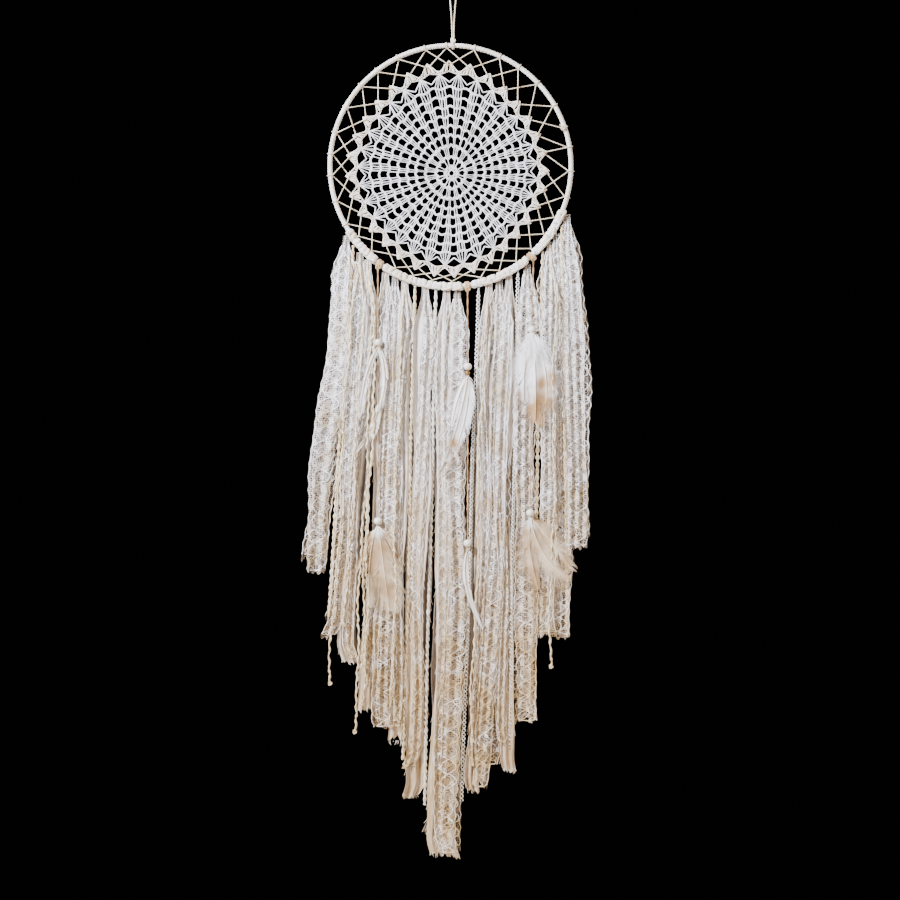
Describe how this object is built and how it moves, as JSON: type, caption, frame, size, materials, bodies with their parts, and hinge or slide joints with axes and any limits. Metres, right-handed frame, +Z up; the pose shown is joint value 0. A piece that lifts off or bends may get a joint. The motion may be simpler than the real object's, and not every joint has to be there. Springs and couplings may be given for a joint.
{
  "type": "dream catcher",
  "caption": "Wall-hung dream catcher: a wrapped hoop with a laced crochet doily, a long fringe of lace, satin and yarn, and strings of beads and feathers.",
  "frame": {"origin": "inside of the hanging loop's crown, where the nail carries it", "axes": "+Z up, front faces -Y, +X to the right of the viewer"},
  "size_m": [0.341, 0.0217, 1.0667],
  "materials": {
    "ring_steel": "bright drawn steel wire",
    "wrap_cotton": "off-white cotton tape wound in a tight helix",
    "crochet_cotton": "white mercerised cotton crochet",
    "lacing_cotton": "cream twisted cotton cord",
    "tulle_lace": "sheer tulle lace with raised thread vines",
    "satin_strip": "satin and muslin strips with torn edges",
    "boucle_yarn": "looped boucle and chain yarn",
    "tan_cord": "tan waxed cotton cord",
    "bead_white": "polished cream bead",
    "bead_gilt": "small gold-brown bead",
    "feather": "white and cream goose feathers"
  },
  "bodies": {
    "loop": {"hanging_loop": "lacing_cotton"},
    "knot": {"hanging_knot": "lacing_cotton"},
    "hoop": {"hoop_ring": "ring_steel", "hoop_wrap": "wrap_cotton", "doily": "crochet_cotton", "lacing_cord": "lacing_cotton", "lacing_knots": "lacing_cotton", "lace_knots": "tulle_lace", "satin_knots": "satin_strip", "yarn_knots": "boucle_yarn", "string_knots": "tan_cord"},
    "lace_strand_01": {"lace_strand_01": "tulle_lace"},
    "yarn_strand_02": {"yarn_strand_02": "boucle_yarn"},
    "lace_strand_03": {"lace_strand_03": "tulle_lace"},
    "satin_strand_04": {"satin_strand_04": "satin_strip"},
    "satin_strand_06": {"satin_strand_06": "satin_strip"},
    "lace_strand_07": {"lace_strand_07": "tulle_lace"},
    "satin_strand_08": {"satin_strand_08": "satin_strip"},
    "yarn_strand_09": {"yarn_strand_09": "boucle_yarn"},
    "satin_strand_10": {"satin_strand_10": "satin_strip"},
    "yarn_strand_11": {"yarn_strand_11": "boucle_yarn"},
    "satin_strand_12": {"satin_strand_12": "satin_strip"},
    "lace_strand_13": {"lace_strand_13": "tulle_lace"},
    "yarn_strand_15": {"yarn_strand_15": "boucle_yarn"},
    "satin_strand_16": {"satin_strand_16": "satin_strip"},
    "lace_strand_17": {"lace_strand_17": "tulle_lace"},
    "satin_strand_18": {"satin_strand_18": "satin_strip"},
    "yarn_strand_19": {"yarn_strand_19": "boucle_yarn"},
    "lace_strand_20": {"lace_strand_20": "tulle_lace"},
    "yarn_strand_22": {"yarn_strand_22": "boucle_yarn"},
    "lace_strand_23": {"lace_strand_23": "tulle_lace"},
    "lace_strand_24": {"lace_strand_24": "tulle_lace"},
    "yarn_strand_25": {"yarn_strand_25": "boucle_yarn"},
    "lace_strand_26": {"lace_strand_26": "tulle_lace"},
    "left_feather_string": {"left_upper_cord": "tan_cord", "left_upper_bead": "bead_white", "left_upper_feathers": "feather"},
    "left_lower_string": {"left_lower_cord": "tan_cord", "left_lower_bead": "bead_white", "left_lower_feathers": "feather"},
    "middle_feather_string": {"middle_upper_cord": "tan_cord", "middle_upper_bead": "bead_white", "middle_upper_feathers": "feather", "middle_gilt_bead": "bead_gilt"},
    "middle_lower_string": {"middle_lower_cord": "tan_cord", "middle_lower_bead": "bead_white", "middle_lower_feathers": "feather"},
    "right_feather_string": {"right_upper_cord": "tan_cord", "right_upper_bead": "bead_white", "right_upper_feathers": "feather"},
    "right_lower_string": {"right_lower_cord": "tan_cord", "right_lower_bead": "bead_white", "right_lower_feathers": "feather"}
  },
  "joints": [
    {"name": "loop_twist", "type": "hinge", "parent": "loop", "child": "knot", "pos_m": [0, 0, -0.0584], "axis": [0, 0, 1], "range_deg": [-90, 90]},
    {"name": "hoop_tilt", "type": "hinge", "parent": "knot", "child": "hoop", "pos_m": [0, 0, -0.06798], "axis": [1, 0, 0], "range_deg": [-15, 15]},
    {"name": "lace_strand_01_swing", "type": "hinge", "parent": "hoop", "child": "lace_strand_01", "pos_m": [-0.13026, 0, -0.30411], "axis": [1, 0, 0], "range_deg": [-35, 35]},
    {"name": "yarn_strand_02_swing", "type": "hinge", "parent": "hoop", "child": "yarn_strand_02", "pos_m": [-0.12178, 0, -0.31411], "axis": [1, 0, 0], "range_deg": [0, 35]},
    {"name": "lace_strand_03_swing", "type": "hinge", "parent": "hoop", "child": "lace_strand_03", "pos_m": [-0.11354, 0, -0.32432], "axis": [1, 0, 0], "range_deg": [0, 35]},
    {"name": "satin_strand_04_swing", "type": "hinge", "parent": "hoop", "child": "satin_strand_04", "pos_m": [-0.10393, 0, -0.33326], "axis": [1, 0, 0], "range_deg": [0, 35]},
    {"name": "satin_strand_06_swing", "type": "hinge", "parent": "hoop", "child": "satin_strand_06", "pos_m": [-0.08256, 0, -0.34847], "axis": [1, 0, 0], "range_deg": [0, 35]},
    {"name": "lace_strand_07_swing", "type": "hinge", "parent": "hoop", "child": "lace_strand_07", "pos_m": [-0.07098, 0, -0.35462], "axis": [1, 0, 0], "range_deg": [0, 35]},
    {"name": "satin_strand_08_swing", "type": "hinge", "parent": "hoop", "child": "satin_strand_08", "pos_m": [-0.05891, 0, -0.35974], "axis": [1, 0, 0], "range_deg": [0, 35]},
    {"name": "yarn_strand_09_swing", "type": "hinge", "parent": "hoop", "child": "yarn_strand_09", "pos_m": [-0.04637, 0, -0.3635], "axis": [1, 0, 0], "range_deg": [0, 35]},
    {"name": "satin_strand_10_swing", "type": "hinge", "parent": "hoop", "child": "satin_strand_10", "pos_m": [-0.03371, 0, -0.36678], "axis": [1, 0, 0], "range_deg": [0, 35]},
    {"name": "yarn_strand_11_swing", "type": "hinge", "parent": "hoop", "child": "yarn_strand_11", "pos_m": [-0.02078, 0, -0.36867], "axis": [1, 0, 0], "range_deg": [0, 35]},
    {"name": "satin_strand_12_swing", "type": "hinge", "parent": "hoop", "child": "satin_strand_12", "pos_m": [-0.00775, 0, -0.36963], "axis": [1, 0, 0], "range_deg": [0, 35]},
    {"name": "lace_strand_13_swing", "type": "hinge", "parent": "hoop", "child": "lace_strand_13", "pos_m": [0.00531, 0, -0.36949], "axis": [1, 0, 0], "range_deg": [0, 35]},
    {"name": "yarn_strand_15_swing", "type": "hinge", "parent": "hoop", "child": "yarn_strand_15", "pos_m": [0.03117, 0, -0.36588], "axis": [1, 0, 0], "range_deg": [0, 35]},
    {"name": "satin_strand_16_swing", "type": "hinge", "parent": "hoop", "child": "satin_strand_16", "pos_m": [0.04389, 0, -0.3628], "axis": [1, 0, 0], "range_deg": [0, 35]},
    {"name": "lace_strand_17_swing", "type": "hinge", "parent": "hoop", "child": "lace_strand_17", "pos_m": [0.05624, 0, -0.35845], "axis": [1, 0, 0], "range_deg": [0, 35]},
    {"name": "satin_strand_18_swing", "type": "hinge", "parent": "hoop", "child": "satin_strand_18", "pos_m": [0.06819, 0, -0.35304], "axis": [1, 0, 0], "range_deg": [-35, 35]},
    {"name": "yarn_strand_19_swing", "type": "hinge", "parent": "hoop", "child": "yarn_strand_19", "pos_m": [0.07925, 0, -0.34602], "axis": [1, 0, 0], "range_deg": [0, 35]},
    {"name": "lace_strand_20_swing", "type": "hinge", "parent": "hoop", "child": "lace_strand_20", "pos_m": [0.09047, 0, -0.33922], "axis": [1, 0, 0], "range_deg": [0, 35]},
    {"name": "yarn_strand_22_swing", "type": "hinge", "parent": "hoop", "child": "yarn_strand_22", "pos_m": [0.10948, 0, -0.32121], "axis": [1, 0, 0], "range_deg": [0, 35]},
    {"name": "lace_strand_23_swing", "type": "hinge", "parent": "hoop", "child": "lace_strand_23", "pos_m": [0.1186, 0, -0.31179], "axis": [1, 0, 0], "range_deg": [0, 35]},
    {"name": "lace_strand_24_swing", "type": "hinge", "parent": "hoop", "child": "lace_strand_24", "pos_m": [0.12626, 0, -0.30114], "axis": [1, 0, 0], "range_deg": [0, 35]},
    {"name": "yarn_strand_25_swing", "type": "hinge", "parent": "hoop", "child": "yarn_strand_25", "pos_m": [0.13251, 0, -0.28962], "axis": [1, 0, 0], "range_deg": [0, 35]},
    {"name": "lace_strand_26_swing", "type": "hinge", "parent": "hoop", "child": "lace_strand_26", "pos_m": [0.13868, 0, -0.27808], "axis": [1, 0, 0], "range_deg": [0, 35]},
    {"name": "left_string_swing", "type": "hinge", "parent": "hoop", "child": "left_feather_string", "pos_m": [-0.09131, -0.0055, -0.33816], "axis": [-1, 0, 0], "range_deg": [0, 35]},
    {"name": "left_lower_swing", "type": "hinge", "parent": "left_feather_string", "child": "left_lower_string", "pos_m": [-0.09131, -0.008, -0.576], "axis": [-1, 0, 0], "range_deg": [0, 30]},
    {"name": "middle_string_swing", "type": "hinge", "parent": "hoop", "child": "middle_feather_string", "pos_m": [0.01788, -0.0055, -0.3651], "axis": [-1, 0, 0], "range_deg": [0, 35]},
    {"name": "middle_lower_swing", "type": "hinge", "parent": "middle_feather_string", "child": "middle_lower_string", "pos_m": [0.01788, -0.008, -0.595], "axis": [-1, 0, 0], "range_deg": [0, 30]},
    {"name": "right_string_swing", "type": "hinge", "parent": "hoop", "child": "right_feather_string", "pos_m": [0.09801, -0.0055, -0.32798], "axis": [-1, 0, 0], "range_deg": [0, 35]},
    {"name": "right_lower_swing", "type": "hinge", "parent": "right_feather_string", "child": "right_lower_string", "pos_m": [0.09501, -0.008, -0.533], "axis": [-1, 0, 0], "range_deg": [0, 30]}
  ]
}
